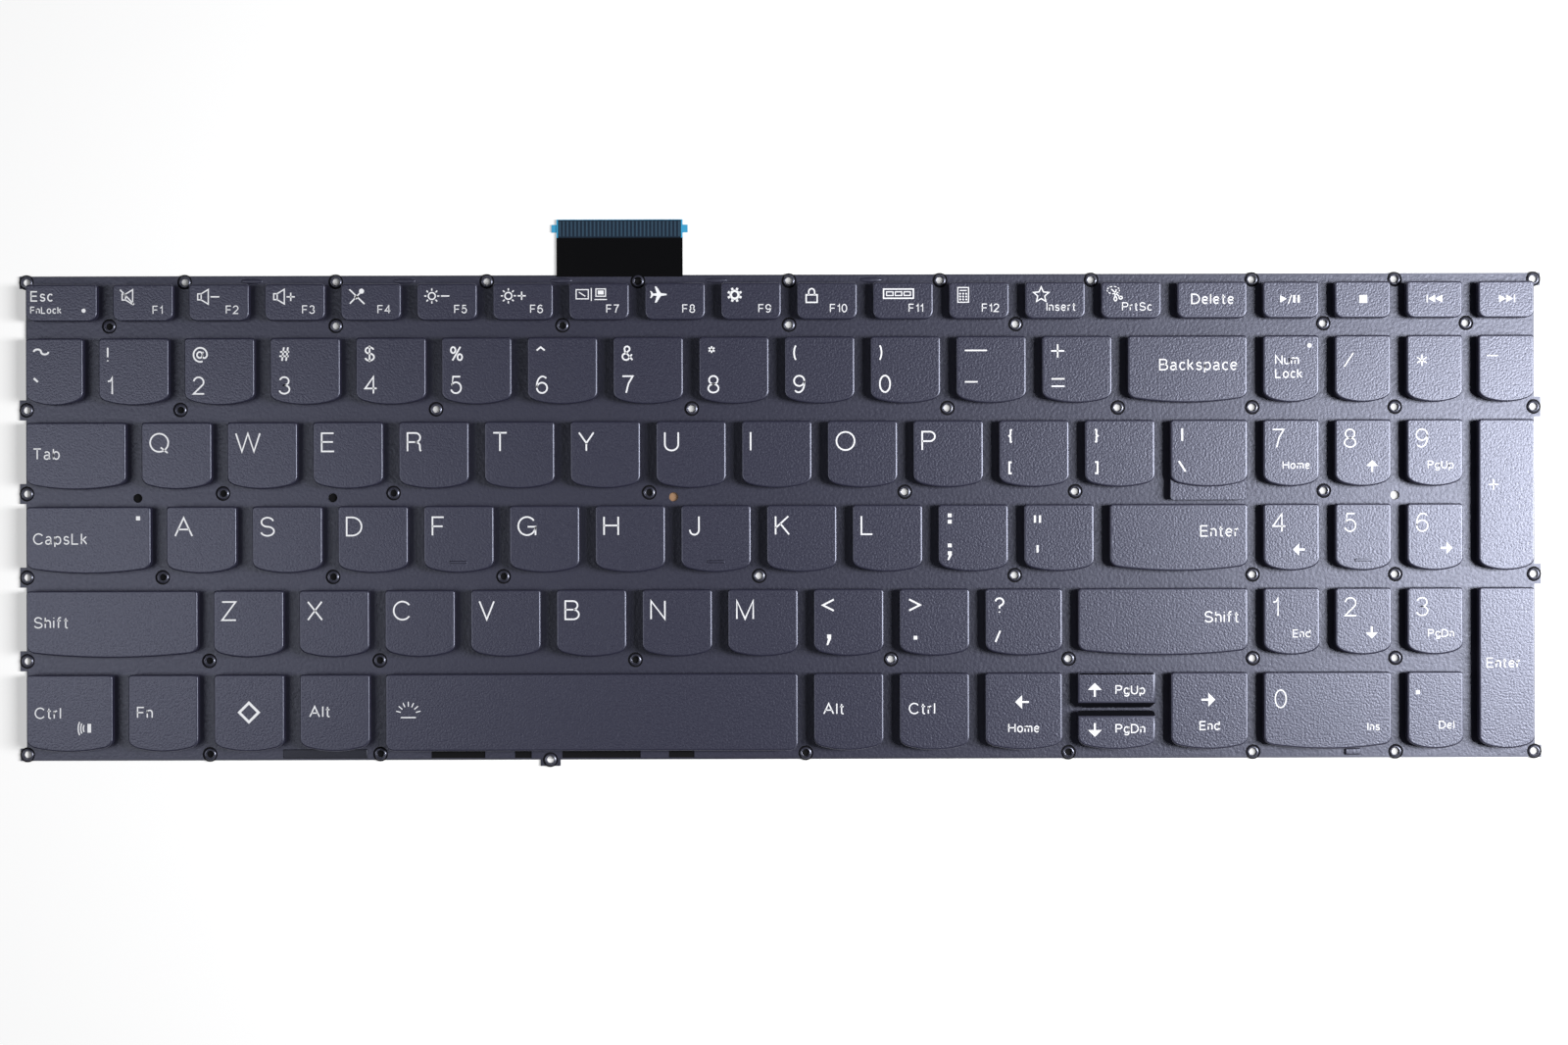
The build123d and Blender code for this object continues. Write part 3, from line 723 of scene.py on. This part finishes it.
# Legends: white ink, pad-printed on the cap tops in one thin even-stroked alphabet.
# A pen path is points "x,y" and arcs "(cx,cy,rx,ry,from,to)" in degrees; "|" lifts the pen.
INK_LIFT = 0.012 * MM
INK_WHITE = (0.80, 0.81, 0.84)
ARC_STEP = 15
LETTER_GAP = 0.29
MITRE_LIMIT = 2.5
GLYPHS = {
    "A": "0,0 .47,1 .94,0|.17,.36 .77,.36",
    "B": "0,.53 .42,.53 (.42,.765,.26,.235,-90,90) 0,1 0,0 .45,0 (.45,.265,.3,.265,-90,90)",
    "C": "(.48,.5,.48,.5,38,322)",
    "D": "0,0 0,1 .3,1 (.3,.5,.52,.5,90,-90) 0,0",
    "E": ".66,1 0,1 0,0 .68,0|0,.52 .62,.52",
    "F": ".62,1 0,1 0,0|0,.5 .56,.5",
    "G": "(.48,.5,.48,.5,38,345) .95,.46 .52,.46|.95,.46 .95,0",
    "H": "0,0 0,1|.78,0 .78,1|0,.52 .78,.52",
    "I": "0,0 0,1",
    "J": ".5,1 .5,.27 (.25,.27,.25,.27,0,-180)",
    "K": "0,0 0,1|.7,1 0,.36|.26,.6 .74,0",
    "L": "0,1 0,0 .6,0",
    "M": "0,0 0,1 .45,0 .9,1 .9,0",
    "N": "0,0 0,1 .76,0 .76,1",
    "O": "(.5,.5,.5,.5,0,360)",
    "P": "0,0 0,1 .42,1 (.42,.74,.28,.26,90,-90) 0,.48",
    "Q": "(.5,.5,.5,.5,0,360)|.58,.24 .96,-.06",
    "R": "0,0 0,1 .44,1 (.44,.75,.26,.25,90,-90) 0,.5|.42,.5 (.44,.3,.24,.2,90,0) .69,.08 .74,0",
    "S": "(.36,.75,.33,.25,15,270) (.36,.25,.36,.25,90,-165)",
    "T": "0,1 .74,1|.37,1 .37,0",
    "U": "0,1 0,.34 (.37,.34,.37,.34,180,360) .74,1",
    "V": "0,1 .4,0 .8,1",
    "W": "0,1 .33,0 .66,1 .99,0 1.32,1",
    "X": "0,1 .78,0|0,0 .76,1",
    "Y": "0,1 .4,.42 .8,1|.4,.42 .4,0",
    "Z": "0,1 .74,1 0,0 .76,0",
    "0": "(.31,.5,.31,.5,0,360)",
    "1": "0,.76 .17,.8 .27,1 .27,0",
    "2": "(.31,.71,.3,.29,170,-35) 0,0 .64,0",
    "3": "(.3,.755,.27,.245,165,-90) .2,.51|.2,.51 .3,.51 (.3,.255,.31,.255,90,-165)",
    "4": ".5,0 .5,1 0,.3 .7,.3",
    "5": ".56,1 .13,1 .063,.526 (.3,.33,.31,.33,140,-160)",
    "6": "(.32,.31,.31,.31,0,360)|(.36,.46,.35,.54,52,180) .01,.31",
    "7": "0,1 .62,1 .36,.55 .22,0",
    "8": "(.31,.755,.26,.245,0,360)|(.31,.255,.31,.255,0,360)",
    "9": "(.31,.69,.31,.31,0,360)|(.27,.54,.35,.54,-128,0) .62,.69",
    "a": "(.26,.52,.22,.2,155,0) .48,.1 .56,0|.48,.42 .22,.38 (.2,.19,.2,.19,90,270) .3,0 .48,.16",
    "b": "0,1 0,0|(.28,.36,.28,.36,0,360)",
    "c": "(.28,.36,.28,.36,45,315)",
    "d": ".56,1 .56,0|(.28,.36,.28,.36,0,360)",
    "e": "0,.38 .56,.38 (.28,.36,.28,.36,0,315)",
    "f": ".38,1 .3,1 (.3,.84,.16,.16,90,180) .14,0|0,.7 .36,.7",
    "g": "(.28,.36,.28,.36,0,360)|.56,.72 .56,-.06 (.28,-.06,.28,.22,0,-150)",
    "h": "0,1 0,0|0,.42 (.25,.46,.25,.26,180,0) .5,0",
    "i": "0,0 0,.72|0,.92 0,1",
    "k": "0,1 0,0|.46,.72 0,.27|.17,.43 .5,0",
    "l": "0,0 0,1",
    "m": "0,.72 0,0|0,.42 (.21,.5,.21,.22,180,0) .42,0|.42,.42 (.63,.5,.21,.22,180,0) .84,0",
    "n": "0,.72 0,0|0,.42 (.24,.47,.24,.25,180,0) .48,0",
    "o": "(.29,.36,.29,.36,0,360)",
    "p": "0,.72 0,-.28|(.28,.36,.28,.36,0,360)",
    "r": "0,.72 0,0|0,.4 (.26,.42,.26,.3,180,85)",
    "s": "(.24,.54,.21,.18,20,270) (.24,.18,.23,.18,90,-165)",
    "t": ".14,.95 .14,.14 (.28,.14,.14,.14,180,270) .34,0|0,.7 .34,.7",
    "u": "0,.72 0,.25 (.24,.25,.24,.25,180,360) .48,.72|.48,.72 .48,0",
    "!": "0,1 0,.3|0,.08 0,0",
    "@": "(.46,.45,.2,.22,0,360)|.69,.68 .66,.3 (.81,.36,.15,.14,190,300) (.5,.46,.5,.52,-10,290)",
    "#": ".2,0 .34,1|.5,0 .64,1|.06,.66 .74,.66|0,.34 .7,.34",
    "$": "(.33,.75,.3,.23,15,270) (.33,.26,.33,.26,90,-165)|.33,1.1 .33,-.1",
    "%": ".12,0 .7,1|(.17,.76,.17,.22,0,360)|(.66,.24,.17,.22,0,360)",
    "^": "0,.72 .3,.96 .6,.72",
    "&": ".74,0 .18,.64 (.34,.81,.19,.19,215,-35) .2,.46 (.27,.25,.27,.25,115,305) .7,.42",
    "*": ".25,1 .25,.5|.03,.88 .47,.62|.03,.62 .47,.88",
    "(": "(.6,.5,.6,.86,142,218)",
    ")": "(-.47,.5,.6,.86,38,-38)",
    "{": ".24,1.04 .12,1 .12,.6 0,.5 .12,.4 .12,0 .24,-.04",
    "}": "0,1.04 .12,1 .12,.6 .24,.5 .12,.4 .12,0 0,-.04",
    "[": ".22,1 0,1 0,0 .22,0",
    "]": "0,1 .22,1 .22,0 0,0",
    "<": ".78,1 0,.6 .78,.2",
    ">": "0,1 .78,.6 0,.2",
    "?": "(.28,.74,.28,.26,170,-40) .29,.44 .28,.28|.28,.08 .28,0",
    "/": "0,0 .42,1",
}


def pen_points(path):
    """The points of one stroke, its arcs stepped round in even turns."""
    points = []
    for word in path.split():
        numbers = [float(number) for number in word.strip("()").split(",")]
        if word.startswith("("):
            across, up, wide, tall, start, end = numbers
            steps = max(2, round(abs(end - start) / ARC_STEP))
            angles = [math.radians(start + (end - start) * i / steps) for i in range(steps + 1)]
            points += [(across + wide * math.cos(a), up + tall * math.sin(a)) for a in angles]
        else:
            points.append(tuple(numbers))
    return [p for i, p in enumerate(points) if i == 0 or math.dist(p, points[i - 1]) > 1e-6]


def lettered(text, height, pen):
    """The strokes of a line of text whose left end and baseline are at 0,0."""
    strokes = []
    pen_x = pen / 2
    for letter in text:
        paths = [pen_points(path) for path in GLYPHS[letter].split("|")]
        scale = height - pen
        strokes += [[(pen_x + x * scale, pen / 2 + y * scale) for x, y in path] for path in paths]
        pen_x += max(x for path in paths for x, y in path) * scale + LETTER_GAP * height
    return strokes, pen_x - LETTER_GAP * height + pen / 2


def ribbon_of_ink(points, pen):
    """The corner points and faces of one stroke of even width, mitred where it turns."""
    path = [Vector(point) for point in points]
    looped = (path[0] - path[-1]).length < 1e-4
    borders = []
    for i, point in enumerate(path):
        before = path[i - 1] if i else (path[-2] if looped else None)
        after = path[i + 1] if i + 1 < len(path) else (path[1] if looped else None)
        come = (point - before).normalized() if before else (after - point).normalized()
        go = (after - point).normalized() if after else come
        come, go = Vector((-come.y, come.x)), Vector((-go.y, go.x))
        mid = (come + go).normalized() if (come + go).length > 1e-6 else come
        reach = pen / 2 * min(MITRE_LIMIT, 1 / max(mid.dot(come), 1e-3))
        borders += [point + mid * reach, point - mid * reach]
    faces = [(2 * i + 1, 2 * i + 3, 2 * i + 2, 2 * i) for i in range(len(path) - 1)]
    return borders, faces


marks = {key: ([], []) for key in caps}


def add_faces(key, points, faces):
    """Lays flat faces on a cap top; points are mm right of and behind its left rear corner."""
    low, high = corners(caps[key])
    known, made = marks[key]
    start = len(known)
    known += [(low.x + x * MM, high.y + y * MM, high.z + INK_LIFT) for x, y in points]
    made += [tuple(start + corner for corner in face) for face in faces]


def draw(key, path, pen=0.32):
    """Inks pen strokes on a cap."""
    for stroke in path.split("|"):
        add_faces(key, *ribbon_of_ink(pen_points(stroke), pen))


def fill(key, path):
    """Inks solid shapes on a cap, each drawn round its outline."""
    for outline in path.split("|"):
        points = pen_points(outline)
        if sum(a[0] * b[1] - b[0] * a[1] for a, b in zip(points, points[1:] + points[:1])) < 0:
            points.reverse()
        add_faces(key, points, [tuple(range(len(points)))])


def write(key, text, height, pen, inset, drop, side="left"):
    """Inks a line of text: inset from one side of the cap, its baseline a drop from the rear edge."""
    low, high = corners(caps[key])
    width = (high.x - low.x) / MM
    strokes, length = lettered(text, height, pen)
    start = {"left": inset, "right": width - inset - length, "centre": (width - length) / 2 + inset}[side]
    for stroke in strokes:
        add_faces(key, *ribbon_of_ink([(start + x, y - drop) for x, y in stroke], pen))


def dot(key, x, y, radius):
    """Inks a round dot."""
    fill(key, f"({x},{y},{radius},{radius},0,345)")


def rays(key, x, y, inner, outer, angles, pen):
    """Inks short strokes that stand round a middle, like the beams of a sun."""
    for angle in angles:
        across, up = math.cos(math.radians(angle)), math.sin(math.radians(angle))
        draw(key, f"{x + inner * across},{y + inner * up} {x + outer * across},{y + outer * up}", pen)


for letter in "qwertyuiopasdfghjklzxcvbnm":
    write(letter, letter.upper(), height=4.3, pen=0.34, inset=1.75, drop=6.6)
for digit, shifted in zip("1234567890", "!@#$%^&*()"):
    write(digit, digit, height=3.95, pen=0.34, inset=1.85, drop=12.35)
    write(digit, shifted, height=3.3, pen=0.35, inset=1.85, drop=5.2)
draw("grave", "1.8,-2.95 (2.6,-2.95,.8,.55,180,0) (4.2,-2.95,.8,.55,180,360)", pen=0.4)
draw("grave", "1.8,-8.7 2.7,-9.5", pen=0.45)
draw("minus", "1.85,-3.15 6.7,-3.15|1.85,-10 4.65,-10")
draw("equals", "1.95,-3.3 4.85,-3.3|3.4,-1.85 3.4,-4.75|2.05,-9.4 4.9,-9.4|2.05,-11 4.9,-11")
for key, upper, lower in (("left_bracket", "{", "["), ("right_bracket", "}", "]"), ("slash", "?", "/")):
    tall = upper == "?"
    write(key, upper, height=3.5 if tall else 2.9, pen=0.36, inset=2.0, drop=5.4 if tall else 4.9)
    write(key, lower, height=2.8, pen=0.38, inset=2.0, drop=11.8)
draw("backslash", "2.5,-1.9 2.5,-4.6|1.75,-9 3.2,-11.3", pen=0.4)
write("comma", "<", height=3.4, pen=0.38, inset=1.8, drop=5.5)
write("period", ">", height=3.4, pen=0.38, inset=1.9, drop=5.5)
fill("comma", "2.9,-9.9 3.75,-9.9 3.75,-10.8 3.1,-12.2 2.75,-12.2 3.1,-10.75 2.9,-10.75")
fill("period", "3.05,-10.25 3.85,-10.25 3.85,-11.05 3.05,-11.05")
fill("semicolon", "2.05,-1.95 2.9,-1.95 2.9,-2.75 2.05,-2.75|2.05,-3.35 2.9,-3.35 2.9,-4.15 2.05,-4.15")
fill("semicolon", "2.05,-8.5 2.9,-8.5 2.9,-9.3 2.05,-9.3")
fill("semicolon", "2.05,-10.2 2.9,-10.2 2.9,-11 2.3,-12.1 1.95,-12.1 2.3,-11 2.05,-11")
draw("apostrophe", "2.35,-2.4 2.35,-4|3.45,-2.4 3.45,-4|2.9,-8.9 2.9,-10.5", pen=0.45)

word = {"height": 2.5, "pen": 0.27}
write("tab", "Tab", **word, inset=1.55, drop=8.1)
write("caps_lock", "CapsLk", **word, inset=1.55, drop=8.25)
fill("caps_lock", "24,-2.1 24.9,-2.1 24.9,-3 24,-3")
write("shift_left", "Shift", **word, inset=1.7, drop=8.15)
write("ctrl_left", "Ctrl", **word, inset=1.8, drop=9.5)
write("fn", "Fn", **word, inset=1.9, drop=9.4)
write("alt_left", "Alt", **word, inset=2.05, drop=9.3)
write("alt_right", "Alt", **word, inset=2.05, drop=8.95)
write("ctrl_right", "Ctrl", **word, inset=2.0, drop=8.95)
write("enter", "Enter", **word, inset=1.95, drop=7.15, side="right")
write("shift_right", "Shift", **word, inset=1.95, drop=7.5, side="right")
write("backspace", "Backspace", **word, inset=2.15, drop=7.6, side="right")
write("delete", "Delete", height=2.3, pen=0.28, inset=0.1, drop=4.95, side="centre")
write("escape", "Esc", height=2.3, pen=0.28, inset=1.1, drop=3.75)
write("escape", "FnLock", height=1.55, pen=0.22, inset=1.05, drop=6.4)
dot("escape", x=12.7, y=-5.75, radius=0.45)
write("num_lock", "Num", height=2.05, pen=0.24, inset=2.6, drop=6.35)
write("num_lock", "Lock", height=2.05, pen=0.24, inset=2.6, drop=9.35)
dot("num_lock", x=10.1, y=-2.25, radius=0.48)

small = {"height": 1.85, "pen": 0.21}
for number in range(1, 13):
    write(f"f{number}", f"F{number}", **small, inset=2.15, drop=6.55, side="right")
write("insert", "Insert", **small, inset=2.05, drop=6.35, side="right")
write("print_screen", "PrtSc", **small, inset=2.05, drop=6.35, side="right")
write("arrow_left", "Home", height=2.0, pen=0.25, inset=0, drop=13.0, side="centre")
write("arrow_right", "End", height=2.0, pen=0.25, inset=0, drop=12.6, side="centre")
write("arrow_up", "PgUp", height=2.0, pen=0.25, inset=8.1, drop=4.75)
write("arrow_down", "PgDn", height=2.0, pen=0.25, inset=8.1, drop=4.85)
for digit in "789456123":
    write("pad_" + digit, digit, height=4.15, pen=0.27, inset=1.9, drop=6.2)
write("pad_0", "0", height=4.1, pen=0.27, inset=2.3, drop=7.85)
for key, text in (("pad_7", "Home"), ("pad_9", "PgUp"), ("pad_1", "End"), ("pad_3", "PgDn")):
    write(key, text, height=1.75, pen=0.21, inset=2.0, drop=10.8, side="right")
write("pad_0", "Ins", height=1.75, pen=0.21, inset=2.6, drop=12.75, side="right")
write("pad_decimal", "Del", height=1.75, pen=0.21, inset=2.0, drop=12.4, side="right")
write("pad_enter", "Enter", height=2.2, pen=0.26, inset=1.55, drop=17.5)
fill("pad_decimal", "1.8,-4 2.65,-4 2.65,-4.85 1.8,-4.85")
draw("pad_divide", "2,-6.9 4,-3.9", pen=0.26)
draw("pad_multiply", "3.3,-4.3 3.3,-6.7|2.25,-4.9 4.35,-6.1|2.25,-6.1 4.35,-4.9", pen=0.24)
draw("pad_subtract", "1.8,-4.55 4.2,-4.55", pen=0.26)
draw("pad_add", "2.1,-14.3 4.3,-14.3|3.2,-13.2 3.2,-15.4", pen=0.24)

ARROWS = {
    "arrow_left": (8.0, -6.35, 180, 1.5), "arrow_right": (8.1, -5.95, 0, 1.5),
    "arrow_up": (3.6, -3.75, 90, 1.5), "arrow_down": (3.6, -4.15, 270, 1.5),
    "pad_8": (8.05, -10.2, 90, 1.3), "pad_4": (7.7, -10.0, 180, 1.3),
    "pad_6": (8.55, -9.7, 0, 1.3), "pad_2": (7.85, -9.75, 270, 1.3),
}
for key, (x, y, heading, reach) in ARROWS.items():
    ahead = Vector((math.cos(math.radians(heading)), math.sin(math.radians(heading)))) * reach
    aside = Vector((-ahead.y, ahead.x))
    middle = Vector((x, y))
    tip, tail_end = middle + ahead, middle - ahead
    wings = [middle + aside, middle - aside]
    fill(key, " ".join(f"{p.x},{p.y}" for p in (tip, *wings)))
    draw(key, f"{middle.x},{middle.y} {tail_end.x},{tail_end.y}", pen=0.42)

SPEAKER = "{0},-2.15 {1},-2.15 {2},-1.2 {2},-4.4 {1},-3.45 {0},-3.45 {0},-2.15|{1},-2.15 {1},-3.45"
for key, left in (("f1", 2.1), ("f2", 2.0), ("f3", 2.0)):
    draw(key, SPEAKER.format(left, left + 0.75, left + 2.3), pen=0.26)
draw("f1", "1.65,-1.2 4.7,-4.45", pen=0.28)
draw("f2", "4.8,-2.8 6.7,-2.8", pen=0.28)
draw("f3", "4.8,-2.85 6.6,-2.85|5.7,-1.95 5.7,-3.75", pen=0.28)
draw("f4", "2,-4.35 4.2,-2.05|1.9,-1.25 5.2,-4.45", pen=0.3)
dot("f4", x=4.55, y=-1.65, radius=0.55)
dot("f4", x=3.35, y=-3.0, radius=0.42)
for key, middle in (("f5", 3.3), ("f6", 3.4)):
    draw(key, f"({middle},-2.75,.75,.75,0,360)", pen=0.28)
    rays(key, middle, -2.75, inner=1.15, outer=1.65, angles=range(0, 360, 45), pen=0.28)
draw("f5", "5.3,-2.75 7.1,-2.75", pen=0.28)
draw("f6", "5.4,-2.75 7.2,-2.75|6.3,-1.85 6.3,-3.65", pen=0.28)
draw("f7", "1.6,-1.45 4.25,-1.45 4.25,-3.45 1.6,-3.45 1.6,-1.45", pen=0.22)
draw("f7", "2.2,-2.0 3.6,-2.9|4.9,-1.1 4.9,-3.9", pen=0.22)
draw("f7", "5.9,-1.3 8.0,-1.3 8.0,-2.9 5.9,-2.9 5.9,-1.3|5.6,-3.6 8.3,-3.6", pen=0.22)
fill("f7", "6.3,-1.65 7.6,-1.65 7.6,-2.5 6.3,-2.5")
fill("f8", "4.75,-2.4 4.75,-2.7 3.5,-2.85 2.55,-4.3 2.15,-4.3 2.6,-2.85 1.85,-2.75 1.4,-3.3 1.15,-3.3"
           " 1.4,-2.55 1.15,-1.8 1.4,-1.8 1.85,-2.35 2.6,-2.25 2.15,-.8 2.55,-.8 3.5,-2.25")
draw("f9", "(3,-2.65,.85,.85,0,360)", pen=0.5)
rays("f9", 3, -2.65, inner=1.0, outer=1.6, angles=[22.5 + 45 * step for step in range(8)], pen=0.5)
draw("f10", "2,-2.7 4.4,-2.7 4.4,-4.35 2,-4.35 2,-2.7", pen=0.3)
draw("f10", "2.55,-2.7 2.55,-2.1 (3.2,-2.1,.65,.75,180,0) 3.85,-2.7", pen=0.3)
draw("f11", "2.3,-1.5 8.8,-1.5 8.8,-3.5 2.3,-3.5 2.3,-1.5", pen=0.3)
for left in (2.95, 4.85, 6.75):
    draw("f11", f"{left},-2.1 {left + 1.4},-2.1 {left + 1.4},-2.9 {left},-2.9 {left},-2.1", pen=0.22)
draw("f12", "1.9,-1.2 4.25,-1.2 4.25,-4.4 1.9,-4.4 1.9,-1.2|2.3,-1.85 3.85,-1.85", pen=0.22)
for row in range(3):
    for column in range(3):
        dot("f12", x=2.4 + 0.67 * column, y=-2.55 - 0.62 * row, radius=0.2)
STAR_MIDDLE = (3.5, -2.85)
STAR_REACH = (1.75, 0.8)
STAR_TURN = math.pi / 5
star = []
for step in range(11):
    reach = STAR_REACH[step % 2]
    across, up = math.sin(step * STAR_TURN), math.cos(step * STAR_TURN)
    star.append(f"{STAR_MIDDLE[0] + reach * across},{STAR_MIDDLE[1] + reach * up}")
draw("insert", " ".join(star), pen=0.24)
for start in range(20, 360, 40):
    draw("print_screen", f"(2.65,-1.85,1.35,.8,{start},{start + 24})", pen=0.2)
draw("print_screen", "2.2,-1.6 4,-3.3|3.3,-1.7 3.0,-3.2", pen=0.24)
draw("print_screen", "(4.25,-3.5,.35,.3,0,360)|(3.1,-3.75,.3,.45,0,360)", pen=0.24)
fill("play", "3.75,-3.05 5.15,-3.85 3.75,-4.65|6.55,-3.05 7.05,-3.05 7.05,-4.65 6.55,-4.65")
fill("play", "7.5,-3.05 8,-3.05 8,-4.65 7.5,-4.65")
draw("play", "5.5,-4.95 6.2,-3", pen=0.22)
fill("stop", "5.35,-3.05 7.05,-3.05 7.05,-4.75 5.35,-4.75")
fill("previous", "6.2,-3.05 6.2,-4.7 4.75,-3.88|7.75,-3.05 7.75,-4.7 6.3,-3.88")
fill("previous", "4.35,-3.05 4.6,-3.05 4.6,-4.7 4.35,-4.7")
fill("next", "4.5,-3.05 4.5,-4.7 5.95,-3.88|6.05,-3.05 6.05,-4.7 7.5,-3.88")
fill("next", "7.75,-3.05 8,-3.05 8,-4.7 7.75,-4.7")
draw("space", "3.3,-9.4 6.6,-9.4", pen=0.24)
rays("space", 4.95, -8.7, inner=1.7, outer=2.75, angles=range(15, 166, 25), pen=0.21)
for radius in (1.5, 2.2, 2.9):
    draw("ctrl_left", f"(13.6,-11.6,{radius * 0.8},{radius},150,210)", pen=0.26)
fill("ctrl_left", "13.3,-10.6 14.1,-10.6 14.1,-12.5 13.3,-12.5")
draw("system", "7.6,-6.1 9.7,-8.2 7.6,-10.3 5.5,-8.2 7.6,-6.1", pen=0.55)

ink_white = new_material("legend_white_ink", INK_WHITE, roughness=0.55)
add_grain(ink_white, size=0.2 * MM, height=0.004 * MM, strength=0.25)
for key, (points, faces) in marks.items():
    if faces:
        mesh = bpy.data.meshes.new("legend_" + key)
        mesh.from_pydata(points, [], faces)
        legend = bpy.data.objects.new("legend_" + key, mesh)
        bpy.context.scene.collection.objects.link(legend)
        mesh.materials.append(ink_white)
        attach(legend, cap_body[key])


# Floor, camera and lamps: a white table seen straight from above, lifted to white for the
# camera where it lies open, and left in shade under the plate.
# A strong softbox stands at the right end and a weaker one at the left.
PICTURE_WIDTH = 341.8 * MM
CAMERA_HEIGHT = 500 * MM
SENSOR_WIDTH = 36
TURN = math.radians(-0.15)
PICTURE_MIDDLE = (0.8 * MM, -1.25 * MM)
FLOOR_SIZE = 6
FLOOR_DROP = 0.02 * MM
FLOOR_WHITE = (0.66, 0.66, 0.66)
FLOOR_LIFT = 0.37
SHADE_LEFT = -165.5 * MM
SHADE_RIGHT = 160 * MM
SHADE_HALF_DEPTH = 53 * MM
ROOM_LIGHT = (0.9, 0.93, 1.0, 1.0)
ROOM_STRENGTH = 0.06
floor_white = new_material("floor_white", FLOOR_WHITE, roughness=0.9)
bpy.ops.object.select_all(action="DESELECT")
bpy.ops.mesh.primitive_plane_add(size=FLOOR_SIZE, location=(0, 0, -FLOOR_DROP))
floor = bpy.context.object
floor.name = "floor"
floor.data.materials.append(floor_white)
floor_nodes = floor_white.node_tree.nodes
floor_links = floor_white.node_tree.links


def work_out(operation, *values):
    """A Math node of the floor's finish, fed with sockets or plain numbers, and its result."""
    step = floor_nodes.new("ShaderNodeMath")
    step.operation = operation
    for socket, value in zip(step.inputs, values):
        if isinstance(value, (int, float)):
            socket.default_value = value
        else:
            floor_links.new(value, socket)
    return step.outputs[0]


ray = floor_nodes.new("ShaderNodeLightPath")
place = floor_nodes.new("ShaderNodeTexCoord")
apart = floor_nodes.new("ShaderNodeSeparateXYZ")
floor_links.new(place.outputs["Object"], apart.inputs["Vector"])
seen = work_out("MAXIMUM", ray.outputs["Is Camera Ray"], ray.outputs["Is Glossy Ray"])
seen = work_out("MAXIMUM", seen, ray.outputs["Is Transmission Ray"])
shade_middle = (SHADE_LEFT + SHADE_RIGHT) / 2
shade_reach = (SHADE_RIGHT - SHADE_LEFT) / 2
under_x = work_out("COMPARE", apart.outputs["X"], shade_middle, shade_reach)
under_y = work_out("COMPARE", apart.outputs["Y"], 0, SHADE_HALF_DEPTH)
clear = work_out("SUBTRACT", 1, work_out("MULTIPLY", under_x, under_y))
lift = work_out("MULTIPLY", work_out("MULTIPLY", seen, clear), FLOOR_LIFT)
floor_shader = floor_nodes["Principled BSDF"]
floor_shader.inputs["Emission Color"].default_value = (1, 1, 1, 1)
floor_shader.inputs["Specular IOR Level"].default_value = 0.0
floor_links.new(lift, floor_shader.inputs["Emission Strength"])

camera_data = bpy.data.cameras.new("camera")
camera_data.sensor_width = SENSOR_WIDTH
camera_data.lens = SENSOR_WIDTH * CAMERA_HEIGHT / PICTURE_WIDTH
camera = bpy.data.objects.new("camera", camera_data)
camera.location = (*PICTURE_MIDDLE, CAP_TOP + CAMERA_HEIGHT)
camera.rotation_euler = (0, 0, TURN)
bpy.context.scene.collection.objects.link(camera)
bpy.context.scene.camera = camera


def softbox(name, place, aim, width, length, power):
    """A rectangular studio lamp that looks at a point."""
    lamp = bpy.data.lights.new(name, "AREA")
    lamp.shape = "RECTANGLE"
    lamp.size = width
    lamp.size_y = length
    lamp.energy = power
    holder = bpy.data.objects.new(name, lamp)
    holder.location = place
    holder.rotation_euler = (Vector(aim) - Vector(place)).to_track_quat("-Z", "Y").to_euler()
    bpy.context.scene.collection.objects.link(holder)


softbox("right_softbox", place=(0.44, 0.01, 0.43), aim=(0.05, 0, 0),
        width=0.14, length=0.40, power=6.2)
softbox("left_softbox", place=(-0.36, -0.03, 0.45), aim=(-0.15, -0.03, 0),
        width=0.22, length=0.40, power=0.68)
world = bpy.data.worlds.new("studio")
bpy.context.scene.world = world
world.use_nodes = True
background = world.node_tree.nodes["Background"]
background.inputs["Color"].default_value = ROOM_LIGHT
background.inputs["Strength"].default_value = ROOM_STRENGTH
bpy.context.scene.view_settings.view_transform = "Standard"
